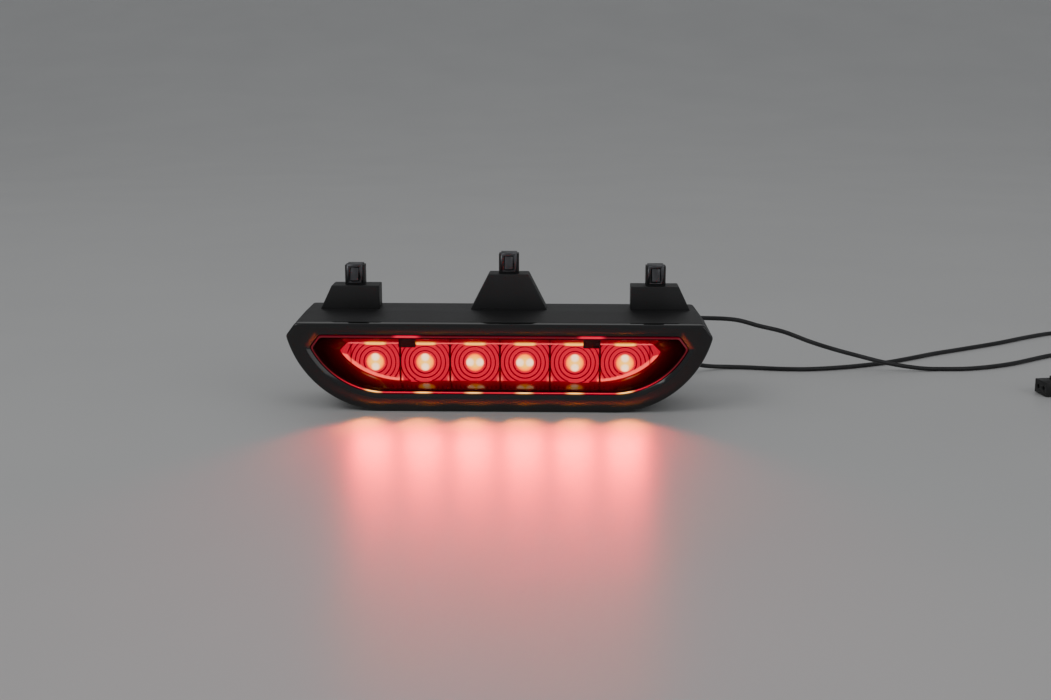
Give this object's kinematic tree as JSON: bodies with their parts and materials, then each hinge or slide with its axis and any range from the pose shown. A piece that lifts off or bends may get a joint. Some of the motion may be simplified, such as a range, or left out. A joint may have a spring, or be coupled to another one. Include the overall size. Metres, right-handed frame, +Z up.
{
  "type": "third brake light",
  "caption": "Slim high-level stop lamp: ringed red optic behind a flat-topped cover with swept lower corners, black housing with snap-in towers, two-wire lead and plug.",
  "frame": {"origin": "middle of the lamp's box at the height of its flat base, without the lead and plug", "axes": "+Z up through the towers, +X along the lamp towards the end with the lead, the lens faces -Y"},
  "size_m": [0.5062, 0.2068, 0.0757],
  "materials": {
    "housing_black": "fine-textured moulded black",
    "frame_black": "polished black",
    "lens_smoke": "clear cover with a light red-smoke tint, polished",
    "seal_black": "soft black",
    "bezel_gloss": "polished black-red",
    "optic_red": "transparent red with moulded rings",
    "baffle_white": "bright white moulding",
    "board_green": "solder-masked board",
    "led_body": "white package",
    "led_glow": "lit emitter under clear resin",
    "chip_black": "dark ceramic and epoxy",
    "brass_tag": "tinned brass",
    "wire_black": "smooth PVC sleeve",
    "zinc_screw": "zinc plated",
    "vent_white": "porous membrane",
    "spring_steel": "rolled spring strip",
    "grommet_black": "moulded rubber",
    "plug_black": "glass-filled nylon",
    "seal_orange": "silicone seal"
  },
  "bodies": {
    "lamp": {"rear_housing": "housing_black", "trim_frame": "frame_black", "outer_lens": "lens_smoke", "lens_seal": "seal_black", "bezel": "bezel_gloss", "inner_optic": "optic_red", "light_baffle": "baffle_white", "circuit_board": "board_green", "led_pair_1": "led_body", "led_pair_2": "led_body", "led_pair_3": "led_body", "led_pair_4": "led_body", "led_pair_5": "led_body", "led_pair_6": "led_body", "led_windows": "led_glow", "resistors": "chip_black", "diode": "chip_black", "solder_tags": "brass_tag", "inner_leads": "wire_black", "board_screws": "zinc_screw", "vent_membrane": "vent_white", "grommet_upper": "grommet_black", "grommet_lower": "grommet_black", "clip_left": "spring_steel", "clip_middle": "spring_steel", "clip_right": "spring_steel", "wire_upper": "wire_black", "wire_lower": "wire_black", "plug_shell": "plug_black", "plug_terminals": "brass_tag", "wire_seals": "seal_orange"},
    "barb_left_front": {"barb_left_front": "spring_steel"},
    "barb_left_rear": {"barb_left_rear": "spring_steel"},
    "barb_middle_front": {"barb_middle_front": "spring_steel"},
    "barb_middle_rear": {"barb_middle_rear": "spring_steel"},
    "barb_right_front": {"barb_right_front": "spring_steel"},
    "barb_right_rear": {"barb_right_rear": "spring_steel"},
    "latch": {"plug_latch": "plug_black"}
  },
  "joints": [
    {"name": "barb_left_front_flex", "type": "hinge", "parent": "lamp", "child": "barb_left_front", "pos_m": [-0.074, 0.0057, 0.0674], "axis": [1, 0, 0], "range_deg": [0, 17], "stiffness_Nm_per_rad": 0.05},
    {"name": "barb_left_rear_flex", "type": "hinge", "parent": "lamp", "child": "barb_left_rear", "pos_m": [-0.074, 0.0123, 0.0674], "axis": [-1, 0, 0], "range_deg": [0, 17], "stiffness_Nm_per_rad": 0.05},
    {"name": "barb_middle_front_flex", "type": "hinge", "parent": "lamp", "child": "barb_middle_front", "pos_m": [0.004, 0.0057, 0.0734], "axis": [1, 0, 0], "range_deg": [0, 17], "stiffness_Nm_per_rad": 0.05},
    {"name": "barb_middle_rear_flex", "type": "hinge", "parent": "lamp", "child": "barb_middle_rear", "pos_m": [0.004, 0.0123, 0.0734], "axis": [-1, 0, 0], "range_deg": [0, 17], "stiffness_Nm_per_rad": 0.05},
    {"name": "barb_right_front_flex", "type": "hinge", "parent": "lamp", "child": "barb_right_front", "pos_m": [0.078, 0.0057, 0.0674], "axis": [1, 0, 0], "range_deg": [0, 17], "stiffness_Nm_per_rad": 0.05},
    {"name": "barb_right_rear_flex", "type": "hinge", "parent": "lamp", "child": "barb_right_rear", "pos_m": [0.078, 0.0123, 0.0674], "axis": [-1, 0, 0], "range_deg": [0, 17], "stiffness_Nm_per_rad": 0.05},
    {"name": "latch_tilt", "type": "hinge", "parent": "lamp", "child": "latch", "pos_m": [0.29817, 0.02534, 0.0089], "axis": [-0.2079, 0.9781, 0], "range_deg": [0, 4.5], "stiffness_Nm_per_rad": 0.05}
  ]
}
